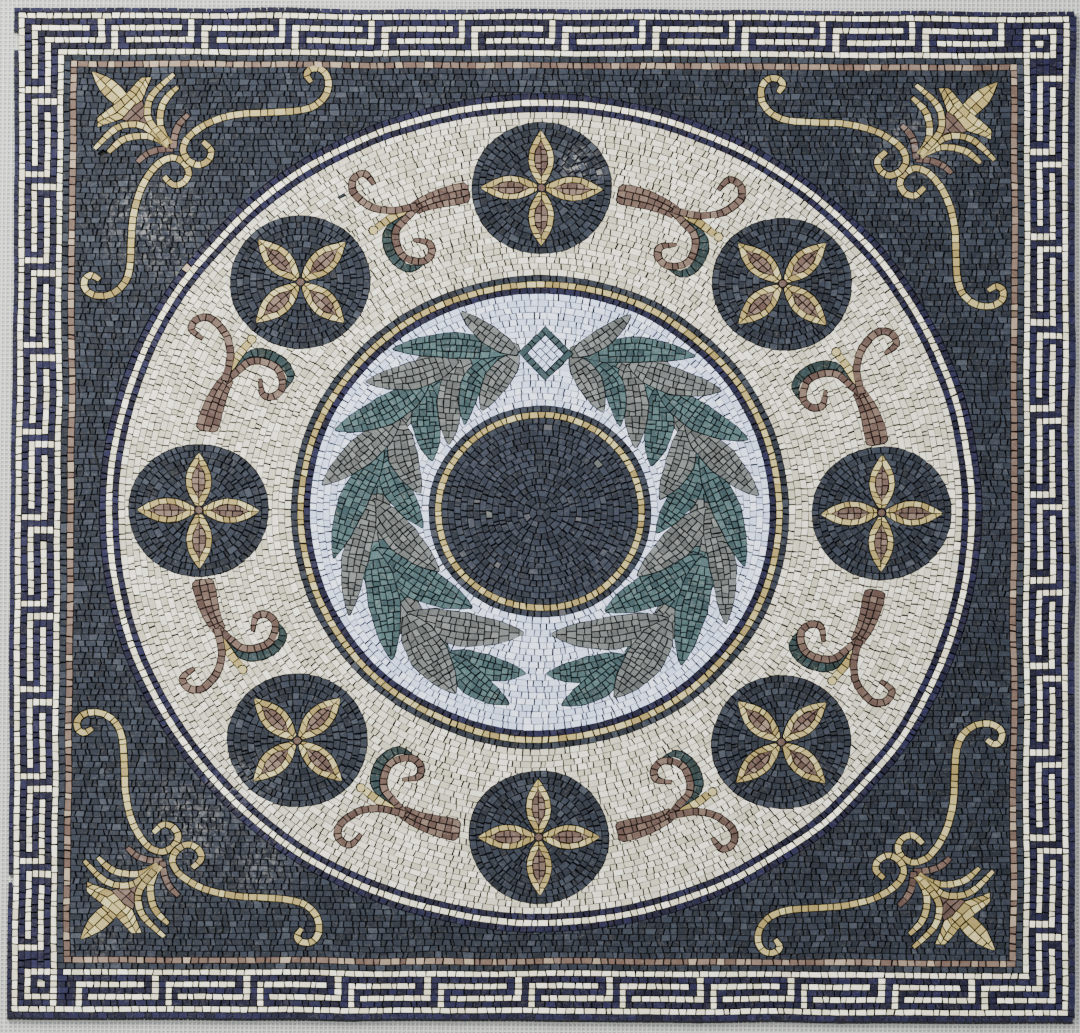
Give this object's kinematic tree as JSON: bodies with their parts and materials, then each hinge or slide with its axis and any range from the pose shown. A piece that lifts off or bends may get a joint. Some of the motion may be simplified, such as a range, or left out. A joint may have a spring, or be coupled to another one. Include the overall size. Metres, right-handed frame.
{
  "type": "mosaic panel",
  "caption": "Square mesh-backed marble mosaic with a key border, lily corners, a ring of flower medallions and a laurel wreath around a dark middle, to be laid in a floor or fixed to a wall.",
  "frame": {"origin": "middle of the underside of the mesh", "axes": "+X to the right of the picture, +Y to its top, +Z out of the face; the panel lies on its back"},
  "size_m": [1.276, 1.276, 0.009],
  "materials": {
    "glass_fibre_mesh": "open coated weave",
    "navy_marble": "honed",
    "ivory_marble": "honed",
    "slate_marble": "honed",
    "rose_marble": "honed",
    "cream_marble": "honed",
    "white_marble": "honed",
    "gold_marble": "honed",
    "green_marble": "honed",
    "charcoal_marble": "honed"
  },
  "bodies": {
    "root": {"mesh_backing": "glass_fibre_mesh", "edge_row": "navy_marble", "edge_row_left": "navy_marble", "outer_line": "ivory_marble", "key_band": "navy_marble", "inner_line": "ivory_marble", "slate_row": "slate_marble", "rose_row": "rose_marble", "slate_field": "slate_marble", "outer_ring_navy_out": "navy_marble", "outer_ring_ivory": "ivory_marble", "outer_ring_navy_in": "navy_marble", "cream_band": "cream_marble", "inner_ring_dark": "slate_marble", "inner_ring_gold": "gold_marble", "inner_ring_navy": "navy_marble", "white_band": "white_marble", "wreath_left": "green_marble", "wreath_right": "green_marble", "diamond_frame": "green_marble", "diamond_middle": "white_marble", "hub_rim": "charcoal_marble", "hub_gold": "gold_marble", "hub_disc": "charcoal_marble", "tendril_1": "gold_marble", "medallion_1": "slate_marble", "flower_1": "gold_marble", "scroll_1": "rose_marble", "tendril_2": "gold_marble", "medallion_2": "slate_marble", "flower_2": "gold_marble", "scroll_2": "rose_marble", "tendril_3": "gold_marble", "medallion_3": "slate_marble", "flower_3": "gold_marble", "scroll_3": "rose_marble", "tendril_4": "gold_marble", "medallion_4": "slate_marble", "flower_4": "gold_marble", "scroll_4": "rose_marble", "tendril_5": "gold_marble", "medallion_5": "slate_marble", "flower_5": "gold_marble", "scroll_5": "rose_marble", "tendril_6": "gold_marble", "medallion_6": "slate_marble", "flower_6": "gold_marble", "scroll_6": "rose_marble", "tendril_7": "gold_marble", "medallion_7": "slate_marble", "flower_7": "gold_marble", "scroll_7": "rose_marble", "tendril_8": "gold_marble", "medallion_8": "slate_marble", "flower_8": "gold_marble", "scroll_8": "rose_marble", "lily_1": "gold_marble", "lily_2": "gold_marble", "lily_3": "gold_marble", "lily_4": "gold_marble"}
  },
  "joints": []
}
